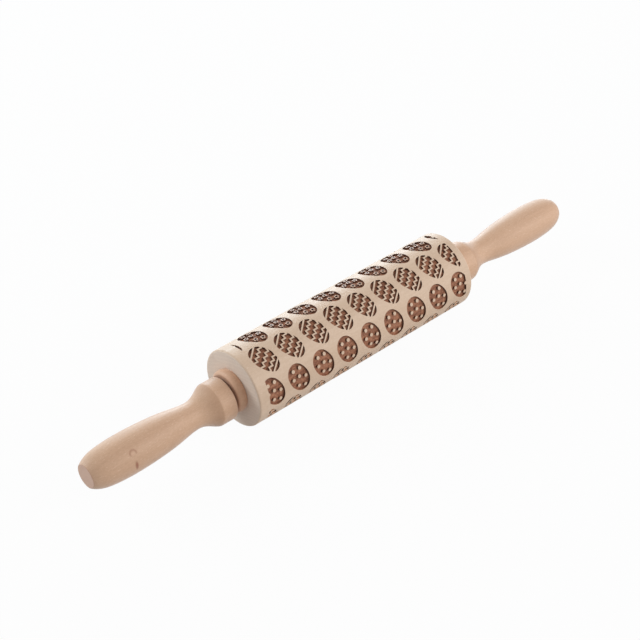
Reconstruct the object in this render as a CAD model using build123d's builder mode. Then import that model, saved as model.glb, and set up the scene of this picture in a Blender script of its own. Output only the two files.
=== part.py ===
from build123d import *
from math import asin, atan2, ceil, cos, degrees, floor, radians, sin, sqrt
import os

os.makedirs("parts", exist_ok=True)

# An embossed rolling pin: an engraved wood roller that turns on a loose dowel between two handles.
# Millimetres, +X along the pin, +Z up. The origin is on the table, under the middle of the roller.

# Roller
pin_length = 350.0
roller_diameter = 45.0
roller_length = 160.0
roller_edge_round = 1.2
roller_bore_diameter = 19.0
seat_gap = 0.05
overrun = 0.5

# Engraved field: it is cropped straight at both ends and sits a little off the middle
field_length = 148.4
field_shift = 1.0
engraving_depth = 1.2
row_gap = 1.25
column_gap = 3.49
first_row_angle = -36.0
field_twist = -2.6
least_bite = 1.0

# Each row's own place along the roller, and its turn in degrees from an even spacing
row_starts = (-2.0, 0.69, 3.65, 9.4, 0.82, 9.4, 0.82)
row_turns = (0.0, 0.0, 0.3, -3.8, -3.8, -3.8, -3.8)

# One egg, drawn upright from four tangent arcs and then tilted
egg_length = 18.1
egg_blunt_radius = 5.95
egg_narrow_radius = 4.45
egg_side_radius = 14.0
egg_tilt = 27.0

# Raised lines of the banded egg; the zigzag lines run in level treads and upright risers
line_width = 0.85
band_slope = 40.0
tooth_pitch = 3.15
tooth_shift_share = -0.34
straight_shares = (0.391, -0.39)
zigzag_shares = (0.22, -0.014, -0.247)

# Raised dots and flowers, at the same places, as shares of the egg's half width and half length
dot_radius = 1.0
petal_count = 5
petal_radius = 0.6
petal_reach = 0.95
flower_eye_radius = 0.6
flowered_size_share = 0.95
spot_shares = (
    (-0.08, 0.67),
    (0.60, 0.47),
    (-0.55, 0.25),
    (0.08, 0.13),
    (0.58, -0.22),
    (-0.44, -0.35),
    (0.09, -0.69),
)

# End bushes: a ring with a crowned, rounded rim on the roller's end, and a spigot in its bore
ring_radius = 12.65
ring_thickness = 5.2
ring_crown = 0.4
ring_edge_round = 1.4
spigot_length = 18.0
bush_mouth_chamfer = 0.6

# Axle rod: it lies at the bottom of the bushes, so it hangs below the roller's axis
rod_diameter = 10.0
rod_play = 2.4
running_gap = 0.1
rod_end_chamfer = 0.8
rod_end_gap = 0.5

# Handles
collar_gap = 1.4
collar_radius = 12.4
collar_width = 9.0
collar_edge_round = 0.6
socket_depth = 28.0
socket_mouth_chamfer = 0.5
neck_radius = 7.76
neck_distance = 12.2
belly_radius = 11.4
belly_distance = 25.0
nose_radius = 7.4
nose_length = 0.9
end_face_radius = 6.75
flare_slope = -0.42
nose_slope = -0.65

# Points between the crease, neck, belly and nose, as shares of the way along and of the way out
shoulder_shares = (0.48, 0.65)
swell_shares = (0.31, 0.45)
rise_shares = (0.62, 0.835)
cheek_shares = (0.56, 0.17)

roller_radius = roller_diameter / 2
axis_height = roller_radius
floor_radius = roller_radius - engraving_depth
field_start = field_shift - field_length / 2
field_end = field_shift + field_length / 2

# Egg outline
circle_gap = egg_length - egg_blunt_radius - egg_narrow_radius
blunt_reach = egg_side_radius - egg_blunt_radius
narrow_reach = egg_side_radius - egg_narrow_radius
side_drop = (narrow_reach**2 - blunt_reach**2 - circle_gap**2) / (2 * circle_gap)
side_offset = sqrt(blunt_reach**2 - side_drop**2)
egg_width = 2 * (egg_side_radius - side_offset)
blunt_centre = egg_length / 2 - egg_blunt_radius
narrow_centre = blunt_centre - circle_gap
blunt_angle = degrees(atan2(-side_drop, side_offset))
narrow_angle = degrees(atan2(-circle_gap - side_drop, side_offset))
side_sweep = blunt_angle - narrow_angle

with BuildSketch() as egg:
    with BuildLine():
        CenterArc((0, blunt_centre), egg_blunt_radius, blunt_angle, 180 - 2 * blunt_angle)
        CenterArc((side_offset, blunt_centre + side_drop), egg_side_radius, 180 - blunt_angle, side_sweep)
        CenterArc((0, narrow_centre), egg_narrow_radius, 180 - narrow_angle, 180 + 2 * narrow_angle)
        CenterArc((-side_offset, blunt_centre + side_drop), egg_side_radius, narrow_angle, side_sweep)
    make_face()

tilted_egg_size = egg.sketch.rotate(Axis.Z, egg_tilt).bounding_box().size
column_pitch = tilted_egg_size.X + column_gap
half_egg_angle = degrees(asin(tilted_egg_size.Y / 2 / roller_radius))
row_step = 2 * half_egg_angle + degrees(row_gap / roller_radius)
row_count = int(360 // row_step)


def on_egg(across, along):
    """A point given across and along the upright egg, after the egg is tilted."""
    turn = radians(egg_tilt)
    return across * cos(turn) - along * sin(turn), across * sin(turn) + along * cos(turn)


def zigzag_outline(middle):
    """The closed outline of one raised stair line whose mean line passes through middle."""
    tread = tooth_pitch * cos(radians(band_slope))
    riser = tooth_pitch * sin(radians(band_slope))
    half_rise = tread * riser / tooth_pitch / 2
    reach = ceil(egg_length / tooth_pitch)
    upper = []
    lower = []
    for tooth in range(-reach, reach + 1):
        run = tooth_pitch * (tooth + tooth_shift_share)
        x = middle[0] + run * cos(radians(band_slope)) + half_rise * sin(radians(band_slope))
        y = middle[1] + run * sin(radians(band_slope)) - half_rise * cos(radians(band_slope))
        for corner in (y, y + riser):
            upper.append((x - line_width / 2, corner + line_width / 2))
            lower.append((x + line_width / 2, corner - line_width / 2))
    return upper + lower[::-1]


# Engraving tools: each is cut out of the ring of wood between the pocket floor and the surface
tool_plane = Plane((0, 0, roller_radius + overrun))
tool_depth = roller_radius - sqrt(floor_radius**2 - (egg_length / 2) ** 2) + 2 * overrun
spots = [on_egg(a * egg_width / 2, b * egg_length / 2) for a, b in spot_shares]

with BuildPart() as banded_tool:
    with BuildSketch(tool_plane):
        add(egg.sketch, rotation=egg_tilt)
        with Locations(*[on_egg(0, share * egg_length) for share in straight_shares]):
            Rectangle(2 * egg_length, line_width, rotation=band_slope, mode=Mode.SUBTRACT)
        for share in zigzag_shares:
            with BuildLine():
                Polyline(*zigzag_outline(on_egg(0, share * egg_length)), close=True)
            make_face(mode=Mode.SUBTRACT)
    extrude(amount=-tool_depth)
    Cylinder(floor_radius, 2 * egg_length, rotation=(0, 90, 0), mode=Mode.SUBTRACT)

with BuildPart() as dotted_tool:
    with BuildSketch(tool_plane):
        add(egg.sketch, rotation=egg_tilt)
        with Locations(*spots):
            Circle(dot_radius, mode=Mode.SUBTRACT)
    extrude(amount=-tool_depth)
    Cylinder(floor_radius, 2 * egg_length, rotation=(0, 90, 0), mode=Mode.SUBTRACT)

with BuildSketch() as flower:
    with PolarLocations(petal_reach, petal_count):
        Circle(petal_radius)
    Circle(petal_reach)
    Circle(flower_eye_radius, mode=Mode.SUBTRACT)

with BuildPart() as flowered_tool:
    with BuildSketch(tool_plane):
        add(egg.sketch, rotation=egg_tilt)
        with Locations(*spots):
            add(flower.sketch, mode=Mode.SUBTRACT)
        scale(by=flowered_size_share)
    extrude(amount=-tool_depth)
    Cylinder(floor_radius, 2 * egg_length, rotation=(0, 90, 0), mode=Mode.SUBTRACT)


# The rows carry the designs in turn, and the whole field is slightly twisted
designs = (banded_tool.part, dotted_tool.part, banded_tool.part, flowered_tool.part)
reach = tilted_egg_size.X / 2 - least_bite
engraved_eggs = []
for row in range(row_count):
    row_angle = first_row_angle + row * row_step + row_turns[row % len(row_turns)]
    row_start = row_starts[row % len(row_starts)]
    first = ceil((field_start - reach - row_start) / column_pitch)
    last = floor((field_end + reach - row_start) / column_pitch)
    for column in range(first, last + 1):
        along = row_start + column * column_pitch
        angle = row_angle + field_twist * (along - field_shift) / field_length
        place = Location((along, 0, axis_height), (90 - angle, 0, 0))
        engraved_eggs.append(place * designs[row % len(designs)])

# Roller: its two plain ends, then the engraved stretch, whose end eggs they crop straight
bore_radius = roller_bore_diameter / 2
wall = roller_radius - bore_radius
wall_middle = (roller_radius + bore_radius) / 2
roller_plane = Plane.XZ.shift_origin((0, 0, axis_height))
roller_axis = Axis((0, 0, axis_height), (1, 0, 0))

with BuildPart() as plain_ends:
    for inner, outer in ((field_start, -roller_length / 2), (field_end, roller_length / 2)):
        with BuildSketch(roller_plane) as plain_end:
            with Locations(((inner + outer) / 2, wall_middle)):
                Rectangle(abs(outer - inner), wall)
            rim = plain_end.vertices().sort_by_distance((outer, roller_radius))[0]
            fillet(rim, roller_edge_round)
        revolve(axis=roller_axis)

# The engraved stretch is turned from the middle of the plain strip, apart from the plain ends
strip_angle = first_row_angle - half_egg_angle - (360 - row_count * row_step) / 2

with BuildPart() as roller:
    with BuildSketch(roller_plane.rotated((90 - strip_angle, 0, 0))):
        with Locations((field_shift, wall_middle)):
            Rectangle(field_length, wall)
    revolve(axis=roller_axis)
    add(engraved_eggs, mode=Mode.SUBTRACT)
    add(plain_ends.part)
roller.part.label = "roller"
export_step(roller.part, "parts/roller.step")

# Right end bush: profile in distance along the pin and radius from the roller's axis
rod_radius = rod_diameter / 2
bush_bore_radius = rod_radius + rod_play
spigot_radius = bore_radius - seat_gap
rim_radius = ring_radius - ring_crown
ring_inner = roller_length / 2
ring_outer = ring_inner + ring_thickness
spigot_end = ring_inner - spigot_length

with BuildPart() as right_end_bush:
    with BuildSketch(roller_plane) as bush_profile:
        with BuildLine():
            Polyline(
                (ring_inner, rim_radius),
                (ring_inner, spigot_radius),
                (spigot_end, spigot_radius),
                (spigot_end, bush_bore_radius),
                (ring_outer - bush_mouth_chamfer, bush_bore_radius),
                (ring_outer, bush_bore_radius + bush_mouth_chamfer),
                (ring_outer, rim_radius),
            )
            middle = ((ring_inner + ring_outer) / 2, ring_radius)
            ThreePointArc((ring_outer, rim_radius), middle, (ring_inner, rim_radius))
        make_face()
        rim = bush_profile.vertices().sort_by_distance((ring_outer, rim_radius))[0]
        fillet(rim, ring_edge_round)
    revolve(axis=roller_axis)
right_end_bush.part.label = "right_end_bush"
export_step(right_end_bush.part, "parts/right_end_bush.step")

with BuildPart() as left_end_bush:
    mirror(right_end_bush.part, about=Plane.YZ)
left_end_bush.part.label = "left_end_bush"
export_step(left_end_bush.part, "parts/left_end_bush.step")

# Axle rod
rod_drop = rod_play - running_gap
rod_height = axis_height - rod_drop
rod_axis = Axis((0, 0, rod_height), (1, 0, 0))
collar_inner = ring_outer + collar_gap
socket_end = collar_inner + socket_depth
rod_half_length = socket_end - rod_end_gap

with BuildPart() as axle_rod:
    with Locations((0, 0, rod_height)):
        Cylinder(rod_radius, 2 * rod_half_length, rotation=(0, 90, 0))
    chamfer(axle_rod.edges().filter_by(GeomType.CIRCLE), rod_end_chamfer)
axle_rod.part.label = "axle_rod"
export_step(axle_rod.part, "parts/axle_rod.step")

# Right handle: one turned profile round the rod's axis, from the collar to the flat end face
handle_end = pin_length / 2
crease = collar_inner + collar_width
neck = crease + neck_distance
belly = handle_end - belly_distance
nose = handle_end - nose_length
socket_radius = rod_radius + seat_gap


def between(start, end, shares):
    """A point between two points of the profile, by its shares of the way along and out."""
    return (start[0] + shares[0] * (end[0] - start[0]), start[1] + shares[1] * (end[1] - start[1]))


crease_point = (crease, collar_radius)
neck_point = (neck, neck_radius)
belly_point = (belly, belly_radius)
nose_point = (nose, nose_radius)
shoulder_point = between(crease_point, neck_point, shoulder_shares)
swell_point = between(neck_point, belly_point, swell_shares)
rise_point = between(neck_point, belly_point, rise_shares)
cheek_point = between(belly_point, nose_point, cheek_shares)

with BuildPart() as right_handle:
    with BuildSketch(Plane.XZ.shift_origin((0, 0, rod_height))) as handle_profile:
        with BuildLine():
            Polyline(
                (nose, nose_radius),
                (handle_end, end_face_radius),
                (handle_end, 0),
                (socket_end, 0),
                (socket_end, socket_radius),
                (collar_inner + socket_mouth_chamfer, socket_radius),
                (collar_inner, socket_radius + socket_mouth_chamfer),
                (collar_inner, collar_radius),
                crease_point,
            )
            Spline(crease_point, shoulder_point, neck_point, tangents=((1, flare_slope), (1, 0)))
            Spline(neck_point, swell_point, rise_point, belly_point, tangents=((1, 0), (1, 0)))
            Spline(belly_point, cheek_point, nose_point, tangents=((1, 0), (1, nose_slope)))
        make_face()
        collar_edge = handle_profile.vertices().sort_by_distance((collar_inner, collar_radius))[0]
        fillet(collar_edge, collar_edge_round)
    revolve(axis=rod_axis)
right_handle.part.label = "right_handle"
export_step(right_handle.part, "parts/right_handle.step")

with BuildPart() as left_handle:
    mirror(right_handle.part, about=Plane.YZ)
left_handle.part.label = "left_handle"
export_step(left_handle.part, "parts/left_handle.step")
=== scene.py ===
"""An engraved beech rolling pin on a pale studio floor. Metres, +X along the pin, +Z up, table at z = 0."""

from math import radians

import bmesh
import bpy
import numpy as np
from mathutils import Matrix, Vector


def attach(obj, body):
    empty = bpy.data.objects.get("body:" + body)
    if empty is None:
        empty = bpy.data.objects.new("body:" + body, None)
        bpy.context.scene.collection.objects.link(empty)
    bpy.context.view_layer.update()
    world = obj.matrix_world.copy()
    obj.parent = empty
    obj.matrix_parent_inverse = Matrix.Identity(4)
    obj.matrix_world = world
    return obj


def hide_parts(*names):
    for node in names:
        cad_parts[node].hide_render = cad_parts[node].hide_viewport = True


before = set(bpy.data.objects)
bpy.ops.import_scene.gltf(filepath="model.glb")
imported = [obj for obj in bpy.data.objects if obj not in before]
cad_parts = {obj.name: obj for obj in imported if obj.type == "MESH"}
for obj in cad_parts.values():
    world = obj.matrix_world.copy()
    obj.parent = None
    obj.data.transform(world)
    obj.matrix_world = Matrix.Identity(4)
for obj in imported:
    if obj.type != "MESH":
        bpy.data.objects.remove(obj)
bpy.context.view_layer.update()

# Roller, in metres: its engraved field sits a little off its middle
ROLLER_RADIUS = 0.0225
ROLLER_HALF_LENGTH = 0.080
ROLLER_EDGE_ROUND = 0.0012
ROLLER_BORE_RADIUS = 0.0095
AXIS_HEIGHT = ROLLER_RADIUS
FIELD_MIDDLE = 0.001
FIELD_HALF_LENGTH = 0.0742
ENGRAVING_DEPTH = 0.0012

# Raised flowers: the area of a top in square metres, and in metres the reach of a top, of its eye and of the
# fade at their edges
FLOWER_AREA = (3.4e-6, 8e-6)
FLOWER_REACH = 0.0017
FLOWER_EYE = 0.0008
FLOWER_FADE = 0.0001

# Rod, in metres: it lies at the bottom of the bushes' bores, so its axis hangs below the roller's
ROD_RADIUS = 0.005
ROD_PLAY = 0.0024
ROD_DROP = 0.0023
ROD_AXIS_HEIGHT = AXIS_HEIGHT - ROD_DROP
SEAT_GAP = 0.00005

# Bushes, in metres: a crowned ring on the roller's end, and a spigot in its bore
RING_THICKNESS = 0.0052
RING_OUTER = ROLLER_HALF_LENGTH + RING_THICKNESS
RING_RADIUS = 0.01265
RING_CROWN = 0.0004
OUTER_RIM_REACH = 0.0024
INNER_RIM_REACH = 0.0003
SPIGOT_LENGTH = 0.018
SPIGOT_END = ROLLER_HALF_LENGTH - SPIGOT_LENGTH
SPIGOT_RADIUS = ROLLER_BORE_RADIUS - SEAT_GAP
BUSH_BORE_RADIUS = ROD_RADIUS + ROD_PLAY
BUSH_MOUTH_CHAMFER = 0.0006

# Handles, in metres
COLLAR_GAP = 0.0014
COLLAR_INNER = RING_OUTER + COLLAR_GAP
COLLAR_WIDTH = 0.009
COLLAR_RADIUS = 0.0124
COLLAR_EDGE_REACH = 0.0006
CREASE_REACH = 0.0009
SOCKET_DEPTH = 0.028
SOCKET_END = COLLAR_INNER + SOCKET_DEPTH
SOCKET_RADIUS = ROD_RADIUS + SEAT_GAP
SOCKET_MOUTH_CHAMFER = 0.0005
NECK_DISTANCE = 0.0122
NECK_RADIUS = 0.00776
HANDLE_END = 0.175
BELLY_DISTANCE = 0.025
BELLY_RADIUS = 0.0114
NOSE_LENGTH = 0.0009
NOSE_RADIUS = 0.0074
END_FACE_RADIUS = 0.00675
END_EDGE_REACH = 0.00025
FLARE_SLOPE = -0.42
NOSE_SLOPE = -0.65

# Points between the crease, neck, belly and nose, as shares of the way along and of the way out
SHOULDER_SHARES = (0.48, 0.65)
SWELL_SHARES = (0.31, 0.45)
RISE_SHARES = (0.62, 0.835)
CHEEK_SHARES = (0.56, 0.17)

# Turned meshes: the steps round the pin, the points over a bush's crown, and the angle past which an edge is
# sharp
TURN_STEPS = 128
CROWN_POINTS = 25
TURNED_SHARP_ANGLE = radians(40)

# Eased corners: the points on one, the share of its reach at which a spare point stands beyond each end, and
# the last points of the flare, which the eased crease replaces
EASED_POINTS = 9
EASED_SPARE_SHARE = 0.3
CREASE_POINTS = 4

# The roller's mesh: the angle past which an edge is sharp, and the reaches in metres within which two points
# are one, or a point is on a surface
ENGRAVED_SHARP_ANGLE = radians(25)
WELD_REACH = 1e-7
SURFACE_REACH = 2e-5

# Painted light on the engraved walls: those that face up the roller's turn and towards its far end are
# painted paler, as lit, weighed like this
LIT_UP_SHARE = 0.8
LIT_FAR_SHARE = 0.6
LIT_FROM = 0.1
LIT_OVER = 0.7

# A pin knot on the near handle, in metres: a ring and a scar, each with where its fading starts and ends. The
# ring fades away from its line, and down towards its foot
KNOT_RING = (-0.1516, -0.0087, 0.0272)
KNOT_RADIUS = 0.0018
KNOT_LINE = (0.0001, 0.0009)
KNOT_FOOT = (-0.0014, 0.0004)
KNOT_SCAR = (-0.1516, -0.0112, 0.0208)
SCAR_STRETCH = (1.0, 1.0, 0.36)
SCAR_REACH = (0.0004, 0.0013)

# Painted shade on the flare beside the crease, a deeper tone, in metres past it: where it sets in, and where
# it fades
CREASE_SHADE_START = (-0.0001, 0.0002)
CREASE_SHADE_FADE = (0.0005, 0.009)

# Depths under the roller's skin, in metres, between which a burn and its tones set in; the walls darken with
# depth as painted shade
BURN_DEPTHS = (0.00004, 0.0002)
SCORCHED_SHADE_DEPTHS = (0.0001, 0.0008)
LIT_WALL_DEPTHS = (0.0001, 0.0010)
FLOOR_DEPTHS = (ENGRAVING_DEPTH - 0.00012, ENGRAVING_DEPTH - 0.00004)
FIELD_EDGE = (FIELD_HALF_LENGTH + 0.00005, FIELD_HALF_LENGTH + 0.0001)

# Cut ends, in metres: where each piece's end grain is full, as a distance from the pin's middle, how soon it
# sets in, and the way from the growth rings' heart to the origin
HANDLE_CUT_FROM = HANDLE_END - 0.0002
ROLLER_CUT_FROM = ROLLER_HALF_LENGTH - 0.0001
BUSH_CUT_FROM = RING_OUTER - 0.0001
ROD_CUT_FROM = 0.113
CUT_FADE = 0.0002
FROM_GROWTH_HEART = (0, 0.031, 0.052)

# Finish: the middle of a noise or tone, the shares in the colour of the marks and of the crease's painted
# shade, and the shader's own numbers
MIDDLE_TONE = 0.5
FLECK_SHARE = 0.45
CREASE_SHADE_SHARE = 0.35
KNOT_RING_SHARE = 0.5
KNOT_SCAR_SHARE = 0.75
FLOWER_DARKER_SHARE = 0.6
GRAIN_HEIGHTS = (0.2, 0.8)
TURNED_ROUGHNESS = (0.62, 0.5)
ENGRAVED_ROUGHNESS = (0.62, 0.52)
BURNT_ROUGHNESS = 0.25
BURNT_RELIEF = 1.2
RELIEF_HEIGHT = 0.0001
TURNED_RELIEF = 0.25
ENGRAVED_RELIEF = 0.3
TURNED_SHEEN = 0.6
ENGRAVED_SHEEN = 0.12
SHEEN_ROUGHNESS = 0.35
WOOD_IOR = 1.45

# Studio: sizes and places in metres, powers in watts
FLOOR_HALF_WIDTH = 3.0
FLOOR_MATTE = (0.62, 0.62, 0.62, 1)
FLOOR_WHITE_SHARE = 0.96
WHITE = (1, 1, 1, 1)
SKY_STRENGTH = 0.46
LAMP_AIM = (0, 0, 0.02)
SOFTBOXES = {
    "back_softbox": {"place": (0.7, 1.1, 0.26), "size": 0.46, "power": 11.0, "tint": (0.74, 0.89, 1.0)},
    "front_softbox": {"place": (0.7, -0.9, 0.6), "size": 0.9, "power": 9.5, "tint": (1.0, 1.0, 1.0)},
    "left_softbox": {"place": (-0.66, 0.95, 0.5), "size": 0.5, "power": 9.0, "tint": (0.84, 0.94, 1.0)},
}

# Camera, at the photograph's place: sizes in millimetres, its reach in metres
CAMERA_PLACE = Vector((-0.45378, -0.48042, 0.54940))
CAMERA_VIEW = Vector((0.52694955, 0.58065149, -0.62061906))
CAMERA_SENSOR = 36.0
CAMERA_LENS = 85.39
CAMERA_REACH = (0.01, 50.0)


def between(start, end, shares):
    """A point between two points of a profile, by its shares of the way along and of the way out."""
    return tuple(a + share * (b - a) for a, b, share in zip(start, end, shares))


# Points of a handle's profile, each a distance along the pin and a radius from the rod's axis
CREASE = (COLLAR_INNER + COLLAR_WIDTH, COLLAR_RADIUS)
NECK = (COLLAR_INNER + COLLAR_WIDTH + NECK_DISTANCE, NECK_RADIUS)
BELLY = (HANDLE_END - BELLY_DISTANCE, BELLY_RADIUS)
NOSE = (HANDLE_END - NOSE_LENGTH, NOSE_RADIUS)
SHOULDER = between(CREASE, NECK, SHOULDER_SHARES)
SWELL = between(NECK, BELLY, SWELL_SHARES)
RISE = between(NECK, BELLY, RISE_SHARES)
CHEEK = between(BELLY, NOSE, CHEEK_SHARES)


def linear(red, green, blue):
    """A colour given as it looks on a screen, 0 to 255 each, as the linear values that Blender takes."""
    shown = np.array([red, green, blue]) / 255
    light = np.where(shown <= 0.04045, shown / 12.92, ((shown + 0.055) / 1.055) ** 2.4)
    return (*light, 1.0)


# Tones of each piece's beech: the pale and deep of its long grain, its flecks, and the same of its cut ends
HANDLE_BEECH = {
    "pale": linear(216, 178, 148),
    "deep": linear(192, 153, 124),
    "fleck": linear(232, 205, 180),
    "cut_pale": linear(210, 168, 142),
    "cut_deep": linear(184, 144, 120),
}
ROLLER_BEECH = {
    "pale": linear(221, 194, 170),
    "deep": linear(201, 173, 147),
    "fleck": linear(236, 216, 198),
    "cut_pale": linear(238, 219, 202),
    "cut_deep": linear(194, 171, 154),
}
BUSH_BEECH = {
    "pale": linear(222, 178, 146),
    "deep": linear(196, 152, 122),
    "fleck": linear(226, 192, 164),
    "cut_pale": linear(200, 156, 128),
    "cut_deep": linear(172, 130, 104),
}

# Tones of the marks, and of the burns: walls from their rim to their foot, darker at the foot as painted
# shade, charred on the side that also stands for shade and painted paler, as lit, on the side that faces the
# light; floors from dark to pale
# Painted shade beside the crease
CREASE_SHADE_TONE = linear(176, 134, 104)
KNOT_RING_TONE = linear(156, 102, 76)
KNOT_SCAR_TONE = linear(142, 80, 58)
FLOWER_DARKER_TONE = linear(172, 128, 100)
# Painted shade in the flowers' eyes
FLOWER_EYE_SHADE = linear(60, 35, 26)
SCORCHED_SHADED_WALL = (linear(108, 68, 49), linear(70, 42, 30))
PAINTED_LIT_WALL = (linear(206, 154, 116), linear(172, 120, 88))
BURNT_FLOOR = (linear(122, 77, 57), linear(186, 130, 100))


def put(tree, kind, values=None, **settings):
    """Adds a node to a tree, with its settings, and its inputs as numbers or as other nodes' outputs."""
    node = tree.nodes.new(kind)
    for name, value in settings.items():
        setattr(node, name, value)
    for name, value in (values or {}).items():
        if isinstance(value, bpy.types.NodeSocket):
            tree.links.new(value, node.inputs[name])
        else:
            node.inputs[name].default_value = value
    return node


def calc(tree, operation, *values):
    """One Math node; returns its output."""
    return put(tree, "ShaderNodeMath", dict(enumerate(values)), operation=operation).outputs[0]


def length(tree, vector):
    """How long a vector is."""
    return put(tree, "ShaderNodeVectorMath", {0: vector}, operation="LENGTH").outputs["Value"]


def offset(tree, here, middle, stretch=(1.0, 1.0, 1.0)):
    """The vector from a middle to here, times a stretch along each axis."""
    off = put(tree, "ShaderNodeVectorMath", {0: here, 1: middle}, operation="SUBTRACT").outputs[0]
    return put(tree, "ShaderNodeVectorMath", {0: off, 1: stretch}, operation="MULTIPLY").outputs[0]


def swing(tree, value, amount, base):
    """A noise's swing about its middle, times an amount and added to a base."""
    return calc(tree, "MULTIPLY_ADD", calc(tree, "SUBTRACT", value, MIDDLE_TONE), amount, base)


def ramp(tree, value, low, high, start=0.0, end=1.0):
    """A smooth step from start to end as value goes from low to high."""
    node = put(
        tree,
        "ShaderNodeMapRange",
        {"Value": value, "From Min": low, "From Max": high, "To Min": start, "To Max": end},
        interpolation_type="SMOOTHSTEP",
    )
    return node.outputs["Result"]


def blend(tree, factor, first, second):
    """Two colours mixed by a factor; returns the colour."""
    node = put(tree, "ShaderNodeMix", data_type="RGBA")
    for index, value in ((0, factor), (6, first), (7, second)):
        if isinstance(value, bpy.types.NodeSocket):
            tree.links.new(value, node.inputs[index])
        else:
            node.inputs[index].default_value = value
    return node.outputs[2]


def noise(tree, place, waves, shift, detail, roughness=0.5, warp=0.0):
    """Noise on a position that is stretched to so many waves a metre along each axis, then shifted."""
    spot = put(tree, "ShaderNodeMapping", {"Vector": place, "Scale": waves, "Location": shift}).outputs[0]
    looks = {"Detail": detail, "Roughness": roughness, "Distortion": warp}
    return put(tree, "ShaderNodeTexNoise", {"Vector": spot, "Scale": 1.0, **looks}).outputs["Fac"]


def group(name, inputs, outputs):
    """An empty node group with named sockets, each given as a name and a kind."""
    tree = bpy.data.node_groups.new(name, "ShaderNodeTree")
    for label, kind in inputs:
        tree.interface.new_socket(label, in_out="INPUT", socket_type=kind)
    for label, kind in outputs:
        tree.interface.new_socket(label, in_out="OUTPUT", socket_type=kind)
    return tree, tree.nodes.new("NodeGroupInput"), tree.nodes.new("NodeGroupOutput")


def beech_grain():
    """Long grain of turned beech. Its tone sums a broad figure, fine streaks, mottle and faint ring bands,
    its flecks are the peaks of a short, fine noise, and its height is the streaks less the flecks."""
    tree, given, made = group(
        "beech_grain",
        [("Place", "NodeSocketVector")],
        [("Tone", "NodeSocketFloat"), ("Flecks", "NodeSocketFloat"), ("Height", "NodeSocketFloat")],
    )
    ring_bands = 55.0
    band_share = 0.04
    fleck_peaks = (0.63, 0.74)
    fleck_drop = -0.6
    place = given.outputs["Place"]
    broad = noise(tree, place, waves=(5, 60, 60), shift=(0, 0, 0), detail=3, warp=0.4)
    streaks = noise(tree, place, waves=(22, 620, 620), shift=(3, 1, 7), detail=5, roughness=0.62)
    rings = noise(tree, place, waves=(7, 180, 26), shift=(9, 4, 2), detail=2, roughness=0.4, warp=0.8)
    mottle = noise(tree, place, waves=(700, 1500, 1500), shift=(6, 3, 9), detail=2, roughness=0.6)
    flecks = noise(tree, place, waves=(520, 3300, 3300), shift=(5, 8, 3), detail=1, roughness=0.4)
    bands = calc(tree, "SINE", calc(tree, "MULTIPLY", rings, ring_bands))
    tone = swing(tree, broad, amount=0.9, base=MIDDLE_TONE)
    tone = swing(tree, streaks, amount=0.55, base=tone)
    tone = swing(tree, mottle, amount=0.8, base=tone)
    tone = calc(tree, "MULTIPLY_ADD", bands, band_share, tone)
    flecks = ramp(tree, flecks, *fleck_peaks)
    height = calc(tree, "MULTIPLY_ADD", flecks, fleck_drop, streaks)
    tree.links.new(tone, made.inputs["Tone"])
    tree.links.new(flecks, made.inputs["Flecks"])
    tree.links.new(height, made.inputs["Height"])
    return tree


def end_grain():
    """Cut ends of beech, on the plane across the pin. The tone sums growth rings, which are the sine of a
    drifting distance from a heart off to one side, and the noise of the pores."""
    tree, given, made = group(
        "end_grain",
        [("Place", "NodeSocketVector")],
        [("Tone", "NodeSocketFloat")],
    )
    rings_a_metre = 2900.0
    ring_drift = 6.0
    ring_share = 0.04
    across = (0, 1, 1)
    place = given.outputs["Place"]
    drift = noise(tree, place, waves=(0, 130, 130), shift=(2, 2, 2), detail=2)
    pores = noise(tree, place, waves=(0, 2600, 2600), shift=(0, 5, 1), detail=2, roughness=0.6)
    centred = {"Vector": place, "Location": FROM_GROWTH_HEART, "Scale": across}
    from_heart = length(tree, put(tree, "ShaderNodeMapping", centred).outputs[0])
    growth = calc(tree, "MULTIPLY", from_heart, rings_a_metre)
    rings = calc(tree, "SINE", calc(tree, "MULTIPLY_ADD", drift, ring_drift, growth))
    tone = calc(tree, "MULTIPLY_ADD", rings, ring_share, MIDDLE_TONE)
    tone = swing(tree, pores, amount=1.1, base=tone)
    tree.links.new(tone, made.inputs["Tone"])
    return tree


LONG_GRAIN = beech_grain()
CUT_GRAIN = end_grain()


def placed(tree, grain, place):
    """One of the two grains placed in a material's tree; returns its outputs."""
    node = put(tree, "ShaderNodeGroup", node_tree=grain)
    tree.links.new(place, node.inputs["Place"])
    return node.outputs


def new_material(name):
    """A material with only an output; returns the material, its tree and that output."""
    made = bpy.data.materials.new(name)
    made.use_nodes = True
    made.node_tree.nodes.clear()
    return made, made.node_tree, made.node_tree.nodes.new("ShaderNodeOutputMaterial")


def wood_colours(tree, here, shift, beech):
    """The colour of long-grain beech from its deep to its pale tone, flecked; returns colour and height."""
    moved = put(tree, "ShaderNodeMapping", {"Vector": here, "Location": shift}).outputs[0]
    grain = placed(tree, LONG_GRAIN, moved)
    body = blend(tree, grain["Tone"], beech["deep"], beech["pale"])
    flecked = calc(tree, "MULTIPLY", grain["Flecks"], FLECK_SHARE)
    return blend(tree, flecked, body, beech["fleck"]), grain["Height"]


def cut_ends(tree, here, away, cut_from, colour, beech):
    """Cut end grain over a colour, wherever the piece is further from the pin's middle than cut_from."""
    ends = placed(tree, CUT_GRAIN, here)
    cut_colour = blend(tree, ends["Tone"], beech["cut_deep"], beech["cut_pale"])
    return blend(tree, ramp(tree, away, cut_from - CUT_FADE, cut_from), colour, cut_colour)


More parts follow.
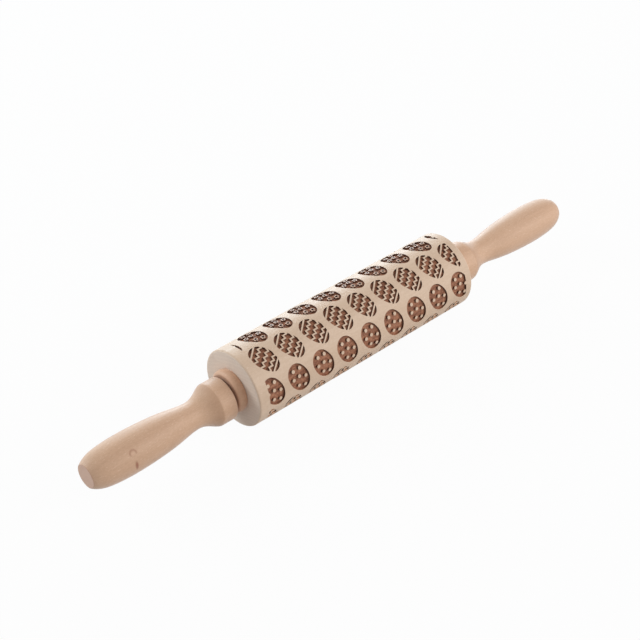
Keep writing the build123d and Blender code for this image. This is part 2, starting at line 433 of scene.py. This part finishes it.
def finish_wood(tree, out, colour, roughness, height, relief, sheen):
    """Joins a colour, roughness and height to the wood's shader, with so much relief and sheen."""
    normal = put(tree, "ShaderNodeBump", {"Height": height, "Strength": relief, "Distance": RELIEF_HEIGHT})
    shader = put(
        tree,
        "ShaderNodeBsdfPrincipled",
        {
            "Base Color": colour,
            "Roughness": roughness,
            "Normal": normal.outputs[0],
            "IOR": WOOD_IOR,
            "Sheen Weight": sheen,
            "Sheen Roughness": SHEEN_ROUGHNESS,
        },
    )
    tree.links.new(shader.outputs[0], out.inputs["Surface"])


def crease_shaded(tree, away, colour):
    """Painted shade on the flare beside the collar's crease, a little deeper in tone."""
    past_crease = calc(tree, "SUBTRACT", away, CREASE[0])
    set_in = ramp(tree, past_crease, *CREASE_SHADE_START)
    fading = ramp(tree, past_crease, *CREASE_SHADE_FADE, 1.0, 0.0)
    share = calc(tree, "MULTIPLY", calc(tree, "MULTIPLY", set_in, fading), CREASE_SHADE_SHARE)
    return blend(tree, share, colour, CREASE_SHADE_TONE)


def knotted(tree, here, colour):
    """A pin knot: a brown ring that fades out towards its foot, and a short reddish scar under it. The ring
    also fades with the distance from its line, and the scar with the distance from its middle."""
    from_ring = offset(tree, here, KNOT_RING)
    miss = calc(tree, "ABSOLUTE", calc(tree, "SUBTRACT", length(tree, from_ring), KNOT_RADIUS))
    rise = put(tree, "ShaderNodeSeparateXYZ", {0: from_ring}).outputs["Z"]
    line = ramp(tree, miss, *KNOT_LINE, KNOT_RING_SHARE, 0.0)
    ring = calc(tree, "MULTIPLY", line, ramp(tree, rise, *KNOT_FOOT))
    colour = blend(tree, ring, colour, KNOT_RING_TONE)
    from_scar = length(tree, offset(tree, here, KNOT_SCAR, SCAR_STRETCH))
    return blend(tree, ramp(tree, from_scar, *SCAR_REACH, KNOT_SCAR_SHARE, 0.0), colour, KNOT_SCAR_TONE)


def turned_wood(name, beech, cut_from, shift, knot_and_crease_shade=False):
    """Sanded turned beech, with cut end grain further than cut_from from the pin's middle. Marked wood has
    painted shade on the flare beside the crease, and has the pin knot."""
    made, tree, out = new_material(name)
    here = put(tree, "ShaderNodeTexCoord").outputs["Object"]
    colour, height = wood_colours(tree, here, shift, beech)
    away = calc(tree, "ABSOLUTE", put(tree, "ShaderNodeSeparateXYZ", {0: here}).outputs["X"])
    if knot_and_crease_shade:
        colour = knotted(tree, here, crease_shaded(tree, away, colour))
    colour = cut_ends(tree, here, away, cut_from, colour, beech)
    roughness = ramp(tree, height, *GRAIN_HEIGHTS, *TURNED_ROUGHNESS)
    finish_wood(tree, out, colour, roughness, height, TURNED_RELIEF, TURNED_SHEEN)
    return made


def engraved_wood(name, beech, cut_from, shift):
    """The roller's beech: pale and sanded outside, with scorched walls and a streaked, burnt floor in each
    egg. The walls carry
    painted light and shade: paler where they face up the turn and towards the far end, darker towards their
    foot. The depth is the roller's radius less the distance from its axis."""
    made, tree, out = new_material(name)
    here = put(tree, "ShaderNodeTexCoord").outputs["Object"]
    colour, height = wood_colours(tree, here, shift, beech)
    xyz = put(tree, "ShaderNodeSeparateXYZ", {0: here}).outputs
    colour = cut_ends(tree, here, calc(tree, "ABSOLUTE", xyz["X"]), cut_from, colour, beech)
    up = calc(tree, "SUBTRACT", xyz["Z"], AXIS_HEIGHT)
    across = put(tree, "ShaderNodeCombineXYZ", {"X": 0.0, "Y": xyz["Y"], "Z": up}).outputs[0]
    depth = calc(tree, "SUBTRACT", ROLLER_RADIUS, length(tree, across))
    along = calc(tree, "ABSOLUTE", calc(tree, "SUBTRACT", xyz["X"], FIELD_MIDDLE))
    in_field = ramp(tree, along, *FIELD_EDGE, 1.0, 0.0)
    burnt = calc(tree, "MULTIPLY", ramp(tree, depth, *BURN_DEPTHS), in_field)

    # The flowers' tops, and what lies within their reach, are toned darker
    place = put(tree, "ShaderNodeAttribute", attribute_name="flower_place").outputs["Vector"]
    from_flower = length(tree, place)
    on_flower = ramp(tree, from_flower, FLOWER_REACH, FLOWER_REACH + FLOWER_FADE, FLOWER_DARKER_SHARE, 0.0)
    colour = blend(tree, on_flower, colour, FLOWER_DARKER_TONE)

    # Walls: painted light and shade. Those that face up the roller's turn and towards its far end are painted
    # paler, as lit; the rest keep a charred tone that also stands for their shade, and all darken towards
    # their foot as painted shade
    lit_side = put(tree, "ShaderNodeAttribute", attribute_name="painted_lit_wall").outputs["Fac"]
    scorched_shaded_wall = blend(tree, ramp(tree, depth, *SCORCHED_SHADE_DEPTHS), *SCORCHED_SHADED_WALL)
    painted_lit_wall = blend(tree, ramp(tree, depth, *LIT_WALL_DEPTHS), *PAINTED_LIT_WALL)
    wall = blend(tree, lit_side, scorched_shaded_wall, painted_lit_wall)

    # Floors: char from the tool's passes and the wood's own figure
    char_tones = (0.3, 0.75)
    passes = noise(tree, here, waves=(1100, 1300, 1300), shift=(1, 2, 3), detail=4, roughness=0.7)
    figure = noise(tree, here, waves=(120, 420, 420), shift=(4, 1, 8), detail=4, roughness=0.6)
    char = swing(tree, figure, amount=0.7, base=passes)
    floor = blend(tree, ramp(tree, char, *char_tones), *BURNT_FLOOR)
    colour = blend(tree, burnt, colour, blend(tree, ramp(tree, depth, *FLOOR_DEPTHS), wall, floor))

    # Painted shade: the flowers' eyes, small pits, are darkest
    in_shaded_eye = ramp(tree, from_flower, FLOWER_EYE - FLOWER_FADE, FLOWER_EYE + FLOWER_FADE, 1.0, 0.0)
    colour = blend(tree, in_shaded_eye, colour, FLOWER_EYE_SHADE)

    roughness = ramp(tree, height, *GRAIN_HEIGHTS, *ENGRAVED_ROUGHNESS)
    roughness = calc(tree, "MULTIPLY_ADD", burnt, BURNT_ROUGHNESS, roughness)
    height = calc(tree, "MULTIPLY_ADD", calc(tree, "MULTIPLY", char, burnt), BURNT_RELIEF, height)
    finish_wood(tree, out, colour, roughness, height, ENGRAVED_RELIEF, ENGRAVED_SHEEN)
    return made


handle_wood = turned_wood("handle_wood", HANDLE_BEECH, HANDLE_CUT_FROM, shift=(0.3, 0.1, 0.2), knot_and_crease_shade=True)
roller_wood = engraved_wood("roller_wood", ROLLER_BEECH, ROLLER_CUT_FROM, shift=(0.7, 0.4, 0.1))
bush_wood = turned_wood("bush_wood", BUSH_BEECH, BUSH_CUT_FROM, shift=(0.1, 0.9, 0.5))
rod_wood = turned_wood("rod_wood", HANDLE_BEECH, ROD_CUT_FROM, shift=(0.5, 0.2, 0.8))


def piece(name, mesh, made, body, node):
    """Makes an object of a mesh, dresses it, and lets it stand for a CAD node."""
    mesh.materials.clear()
    mesh.materials.append(made)
    shape = bpy.data.objects.new(name, mesh)
    bpy.context.collection.objects.link(shape)
    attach(shape, body)
    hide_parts(node)


def smooth_curve(points, start_slope, end_slope, samples):
    """A clamped cubic spline through points, as radius over distance, with its two end slopes given.

    Between two points the radius is a cubic that the bends at both give. The bends solve the usual
    equations, one for each point, in its own bend and its neighbours'."""
    x, y = np.array(points, float).T
    gaps = np.diff(x)
    rises = np.diff(y) / gaps
    count = len(x)
    system = np.zeros((count, count))
    goal = np.zeros(count)
    inner = np.arange(1, count - 1)
    system[inner, inner - 1] = gaps[:-1]
    system[inner, inner] = 2 * (gaps[:-1] + gaps[1:])
    system[inner, inner + 1] = gaps[1:]
    goal[inner] = 6 * np.diff(rises)
    system[0, :2] = (2 * gaps[0], gaps[0])
    goal[0] = 6 * (rises[0] - start_slope)
    system[-1, -2:] = (gaps[-1], 2 * gaps[-1])
    goal[-1] = 6 * (end_slope - rises[-1])
    bend = np.linalg.solve(system, goal)
    at = np.linspace(x[0], x[-1], samples)
    k = np.clip(np.searchsorted(x, at, side="right") - 1, 0, count - 2)
    before, after = at - x[k], x[k + 1] - at
    value = (bend[k] * after**3 + bend[k + 1] * before**3) / (6 * gaps[k])
    value += (y[k] / gaps[k] - bend[k] * gaps[k] / 6) * after
    value += (y[k + 1] / gaps[k] - bend[k + 1] * gaps[k] / 6) * before
    return np.stack([at, value], axis=1)


def eased(corner, before, after, reach):
    """A corner rounded by a circle that touches both sides a reach away, and a spare point past each touch.

    The circle is the rational quadratic of the touches and the corner, in which the corner weighs the cosine
    of half the turn."""
    corner, before, after = (np.array(point, float) for point in (corner, before, after))
    back = (before - corner) / np.linalg.norm(before - corner)
    on = (after - corner) / np.linalg.norm(after - corner)
    start, end = corner + back * reach, corner + on * reach
    weight = np.sqrt((1 - back @ on) / 2)
    t = np.linspace(0, 1, EASED_POINTS)[:, None]
    shares = np.hstack([(1 - t) ** 2, 2 * weight * t * (1 - t), t**2])
    curve = shares @ np.array([start, corner, end]) / shares.sum(axis=1, keepdims=True)
    spare = EASED_SPARE_SHARE * reach
    return np.vstack([start + spare * back, curve, end + spare * on])


def turned_mesh(name, profile, height, side, closed):
    """A turned shape: each profile point, x along the pin and r from the axis, goes round by the turn t to
    (side x, r cos t, height + r sin t).

    A profile that starts and ends on the axis closes in two poles, and a closed one joins its end to its
    start. The left side, -1, is the mirror image, so its faces are turned round."""
    turn = np.linspace(0, 2 * np.pi, TURN_STEPS, endpoint=False)
    x, r = (profile if closed else profile[1:-1]).T
    points = np.stack(
        [
            np.repeat(side * x[:, None], TURN_STEPS, 1),
            r[:, None] * np.cos(turn),
            height + r[:, None] * np.sin(turn),
        ],
        axis=-1,
    ).reshape(-1, 3)
    rows = len(x)
    ring, spot = np.meshgrid(np.arange(rows if closed else rows - 1), np.arange(TURN_STEPS), indexing="ij")
    here = ring * TURN_STEPS
    there = (ring + 1) % rows * TURN_STEPS
    next_spot = (spot + 1) % TURN_STEPS
    quads = np.stack([here + spot, there + spot, there + next_spot, here + next_spot], axis=-1)
    quads = quads.reshape(-1, 4)
    if side < 0:
        quads = quads[:, ::-1]
    faces = quads.tolist()
    if not closed:
        first, last = len(points), len(points) + 1
        poles = np.array([[side * profile[0][0], 0, height], [side * profile[-1][0], 0, height]])
        points = np.vstack([points, poles])
        spots = np.arange(TURN_STEPS)
        after = (spots + 1) % TURN_STEPS
        last_ring = (rows - 1) * TURN_STEPS
        caps = [
            np.stack([np.full(TURN_STEPS, first), spots, after], axis=1),
            np.stack([np.full(TURN_STEPS, last), last_ring + after, last_ring + spots], axis=1),
        ]
        for cap in caps:
            faces += (cap[:, ::-1] if side < 0 else cap).tolist()
    mesh = bpy.data.meshes.new(name)
    mesh.from_pydata(points.tolist(), [], faces)
    mesh.shade_smooth()
    mesh.set_sharp_from_angle(angle=TURNED_SHARP_ANGLE)
    return mesh


def handle_profile():
    """Half a handle's outline, from the middle of its end face over the belly, neck and collar to its
    socket's floor. The swells are smooth curves, and the eased crease replaces the end of the flare."""
    belly_run = smooth_curve([BELLY, CHEEK, NOSE], 0, NOSE_SLOPE, samples=40)[::-1]
    swell_run = smooth_curve([NECK, SWELL, RISE, BELLY], 0, 0, samples=70)[::-1]
    flare_run = smooth_curve([CREASE, SHOULDER, NECK], FLARE_SLOPE, 0, samples=30)[::-1]
    flare_run = flare_run[1:-CREASE_POINTS]
    end_edge = (HANDLE_END, END_FACE_RADIUS)
    mouth = (COLLAR_INNER, COLLAR_RADIUS)
    socket_lip = (COLLAR_INNER, SOCKET_RADIUS + SOCKET_MOUTH_CHAMFER)
    socket_start = (COLLAR_INNER + SOCKET_MOUTH_CHAMFER, SOCKET_RADIUS)
    return np.vstack(
        [
            [(HANDLE_END, 0), (HANDLE_END, END_FACE_RADIUS / 2)],
            eased(end_edge, (HANDLE_END, 0), NOSE, END_EDGE_REACH),
            belly_run,
            swell_run[1:],
            flare_run,
            eased(CREASE, flare_run[-1], mouth, CREASE_REACH),
            eased(mouth, CREASE, socket_lip, COLLAR_EDGE_REACH),
            [socket_lip, socket_start, (SOCKET_END, SOCKET_RADIUS), (SOCKET_END, 0)],
        ]
    )


def bush_profile():
    """A bush's closed outline: its mouth and face, its ring, crowned as a parabola and eased at both rims,
    then the spigot and its end. The crown keeps only the points that the eased rims leave free."""
    half = RING_THICKNESS / 2
    crown = np.linspace(1, -1, CROWN_POINTS)
    x = ROLLER_HALF_LENGTH + half * (1 + crown)
    rim_radius = RING_RADIUS - RING_CROWN
    taken = 1 + EASED_SPARE_SHARE
    free = (RING_OUTER - x > taken * OUTER_RIM_REACH) & (x - ROLLER_HALF_LENGTH > taken * INNER_RIM_REACH)
    ring = np.stack([x, RING_RADIUS - RING_CROWN * crown**2], axis=1)[free]
    outer_face = (RING_OUTER, BUSH_BORE_RADIUS)
    inner_face = (ROLLER_HALF_LENGTH, SPIGOT_RADIUS)
    return np.vstack(
        [
            [(RING_OUTER - BUSH_MOUTH_CHAMFER, BUSH_BORE_RADIUS)],
            [(RING_OUTER, BUSH_BORE_RADIUS + BUSH_MOUTH_CHAMFER)],
            eased((RING_OUTER, rim_radius), outer_face, ring[0], OUTER_RIM_REACH),
            ring,
            eased((ROLLER_HALF_LENGTH, rim_radius), ring[-1], inner_face, INNER_RIM_REACH),
            [inner_face, (SPIGOT_END, SPIGOT_RADIUS), (SPIGOT_END, BUSH_BORE_RADIUS)],
        ]
    )


def welded_roller():
    """A copy of the roller's own solid with its double points merged, smooth but for its sharp edges."""
    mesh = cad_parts["roller"].data.copy()
    mesh.name = "roller_wood"
    shell = bmesh.new()
    shell.from_mesh(mesh)
    bmesh.ops.remove_doubles(shell, verts=shell.verts, dist=WELD_REACH)
    shell.to_mesh(mesh)
    shell.free()
    if mesh.has_custom_normals:
        mesh.attributes.remove(mesh.attributes["custom_normal"])
    mesh.shade_smooth()
    mesh.set_sharp_from_angle(angle=ENGRAVED_SHARP_ANGLE)
    return mesh


def read(rows, label, kind, width):
    """One property of all of a mesh's points or corners, as an array with a row for each."""
    values = np.empty(len(rows) * width, kind)
    rows.foreach_get(label, values)
    return values.reshape(-1, width)


def joined(triangles, count):
    """For each vertex, the lowest vertex number that it is joined to through the triangles' sides."""
    pairs = np.vstack([triangles[:, [0, 1]], triangles[:, [1, 2]], triangles[:, [2, 0]]])
    lowest, before = np.arange(count), None
    while before is None or (lowest != before).any():
        before = lowest.copy()
        shared = lowest[pairs].min(axis=1)
        for end in pairs.T:
            np.minimum.at(lowest, end, shared)
        lowest = lowest[lowest]
    return lowest


def flower_places(places, triangles, on_skin):
    """For each vertex near a raised flower, its place along and round the roller from that flower's middle,
    and (1, 1, 1) for the rest. A flower is an island of the skin whose area is about a flower's, and its
    middle is that of its box on the unrolled skin."""
    island = joined(triangles[on_skin], len(places))[triangles[:, 0]]
    sides = places[triangles[:, 1:]] - places[triangles[:, :1]]
    area = np.linalg.norm(np.cross(sides[:, 0], sides[:, 1]), axis=1) / 2
    island_area = np.bincount(island, weights=area * on_skin, minlength=len(places))
    least, most = FLOWER_AREA
    flower = on_skin & (least < island_area[island]) & (island_area[island] < most)
    turned = np.arctan2(places[:, 2] - AXIS_HEIGHT, places[:, 1])
    unrolled = np.stack([places[:, 0], ROLLER_RADIUS * turned], axis=1)
    found = np.ones((len(places), 3), np.float32)
    for number in np.unique(island[flower]):
        petals = unrolled[np.unique(triangles[flower & (island == number)])]
        away = unrolled - (petals.min(axis=0) + petals.max(axis=0)) / 2
        close = np.linalg.norm(away, axis=1) < FLOWER_REACH
        found[close] = np.pad(away[close], ((0, 0), (0, 1)))
    return found


def whole(mask):
    """The triangles that have all three of their corners in a mask."""
    return mask.reshape(-1, 3).all(axis=1)


def turned_normals(spots, radius, straight_out, normals):
    """The corners' normals: straight out from the axis on the skin and the engraved floors, and out from the
    rounding's own circle on the roller's two rims. The engraved walls keep theirs."""
    for level in (ROLLER_RADIUS, ROLLER_RADIUS - ENGRAVING_DEPTH):
        flat = np.repeat(whole(np.abs(radius - level) < SURFACE_REACH), 3)
        normals[flat] = straight_out[flat]
    past = np.abs(spots[:, 0]) - (ROLLER_HALF_LENGTH - ROLLER_EDGE_ROUND)
    rise = radius - (ROLLER_RADIUS - ROLLER_EDGE_ROUND)
    curve = np.abs(np.hypot(past, rise) - ROLLER_EDGE_ROUND) < SURFACE_REACH
    rounding = np.repeat(whole(curve & (past > -SURFACE_REACH) & (rise > -SURFACE_REACH)), 3)
    swept = rise[:, None] * straight_out + (past * np.sign(spots[:, 0]))[:, None] * np.array((1.0, 0, 0))
    normals[rounding] = swept[rounding] / np.linalg.norm(swept[rounding], axis=1)[:, None]
    return normals


def roller_mesh():
    """The roller's own solid, welded, with turned normals and two attributes that its wood reads.

    The walls' painted light goes from 0 to 1 as a wall faces up the roller's turn, by its normal crossed with
    the way out, and towards the far end. flower_place is the place from the middle of the nearest raised
    flower."""
    mesh = welded_roller()
    corner = read(mesh.loops, "vertex_index", np.int32, 1)[:, 0]
    places = read(mesh.vertices, "co", np.float32, 3)
    normals = read(mesh.corner_normals, "vector", np.float32, 3)
    spots = places[corner]
    out = spots * (0, 1, 1) - (0, 0, AXIS_HEIGHT)
    radius = np.linalg.norm(out, axis=1)
    straight_out = out / radius[:, None]

    # Painted light: walls that face up the roller's turn and towards its far end are marked to be painted
    # paler, as lit
    up_turn = np.cross(normals, straight_out)[:, 0]
    facing = LIT_UP_SHARE * up_turn + LIT_FAR_SHARE * normals[:, 0]
    lit_side = np.clip((facing - LIT_FROM) / LIT_OVER, 0, 1).astype(np.float32)
    mesh.attributes.new("painted_lit_wall", "FLOAT", "CORNER").data.foreach_set("value", lit_side)

    on_skin = whole(np.abs(radius - ROLLER_RADIUS) < SURFACE_REACH)
    found = flower_places(places, corner.reshape(-1, 3), on_skin)
    mesh.attributes.new("flower_place", "FLOAT_VECTOR", "POINT").data.foreach_set("vector", found.ravel())

    mesh.normals_split_custom_set(turned_normals(spots, radius, straight_out, normals).tolist())
    return mesh


piece("engraved_roller", roller_mesh(), roller_wood, "roller", "roller")
for side, name in ((-1, "left"), (1, "right")):
    bush = turned_mesh(f"{name}_bush", bush_profile(), AXIS_HEIGHT, side, closed=True)
    piece(f"{name}_bush", bush, bush_wood, "roller", f"{name}_end_bush")
    grip = turned_mesh(f"{name}_grip", handle_profile(), ROD_AXIS_HEIGHT, side, closed=False)
    piece(f"{name}_grip", grip, handle_wood, "handles", f"{name}_handle")

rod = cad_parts["axle_rod"].data
rod.materials.clear()
rod.materials.append(rod_wood)


def seen_directly(tree):
    """1 for the camera's own rays and for those mirrored or let through, and 0 for all others."""
    seen = put(tree, "ShaderNodeLightPath").outputs
    direct = calc(tree, "MAXIMUM", seen["Is Camera Ray"], seen["Is Glossy Ray"])
    return calc(tree, "MAXIMUM", direct, seen["Is Transmission Ray"])


def studio_floor():
    """A flat square floor at the table's height that shows nearly white and keeps a soft shadow."""
    half = FLOOR_HALF_WIDTH
    mesh = bpy.data.meshes.new("studio_floor")
    corners = [(-half, -half, 0), (half, -half, 0), (half, half, 0), (-half, half, 0)]
    mesh.from_pydata(corners, [], [(0, 1, 2, 3)])
    floor = bpy.data.objects.new("studio_floor", mesh)
    bpy.context.collection.objects.link(floor)
    made, tree, out = new_material("studio_floor")
    matte = put(tree, "ShaderNodeBsdfDiffuse", {"Color": FLOOR_MATTE})
    glow = put(tree, "ShaderNodeEmission", {"Color": WHITE, "Strength": 1.0})
    share = calc(tree, "MULTIPLY", seen_directly(tree), FLOOR_WHITE_SHARE)
    both = put(tree, "ShaderNodeMixShader", {0: share, 1: matte.outputs[0], 2: glow.outputs[0]})
    tree.links.new(both.outputs[0], out.inputs["Surface"])
    mesh.materials.append(made)


def studio_sky():
    """An even pale sky that lights the pin and shows white to the camera and in reflections."""
    world = bpy.data.worlds.new("studio_sky")
    world.use_nodes = True
    tree = world.node_tree
    tree.nodes.clear()
    lit = put(tree, "ShaderNodeBackground", {"Color": WHITE, "Strength": SKY_STRENGTH})
    shown = put(tree, "ShaderNodeBackground", {"Color": WHITE, "Strength": 1.0})
    direct = seen_directly(tree)
    both = put(tree, "ShaderNodeMixShader", {0: direct, 1: lit.outputs[0], 2: shown.outputs[0]})
    out = put(tree, "ShaderNodeOutputWorld", {"Surface": both.outputs[0]})
    out.is_active_output = True
    bpy.context.scene.world = world


def softbox(name, place, size, power, tint):
    """A square area lamp at a place, aimed at the pin's middle."""
    lamp = bpy.data.lights.new(name, "AREA")
    lamp.color = tint
    lamp.shape = "SQUARE"
    lamp.size = size
    lamp.energy = power
    holder = bpy.data.objects.new(name, lamp)
    holder.location = place
    holder.rotation_euler = (Vector(LAMP_AIM) - Vector(place)).to_track_quat("-Z", "Y").to_euler()
    bpy.context.collection.objects.link(holder)


def photograph_camera():
    """The scene's camera, at the place that was fitted to the photograph."""
    lens = bpy.data.cameras.new("camera")
    lens.sensor_width = CAMERA_SENSOR
    lens.lens = CAMERA_LENS
    lens.clip_start, lens.clip_end = CAMERA_REACH
    camera = bpy.data.objects.new("camera", lens)
    camera.location = CAMERA_PLACE
    camera.rotation_euler = CAMERA_VIEW.to_track_quat("-Z", "Y").to_euler()
    bpy.context.collection.objects.link(camera)
    bpy.context.scene.camera = camera


studio_floor()
studio_sky()
for name, box in SOFTBOXES.items():
    softbox(name, **box)
photograph_camera()
bpy.context.scene.view_settings.view_transform = "Standard"
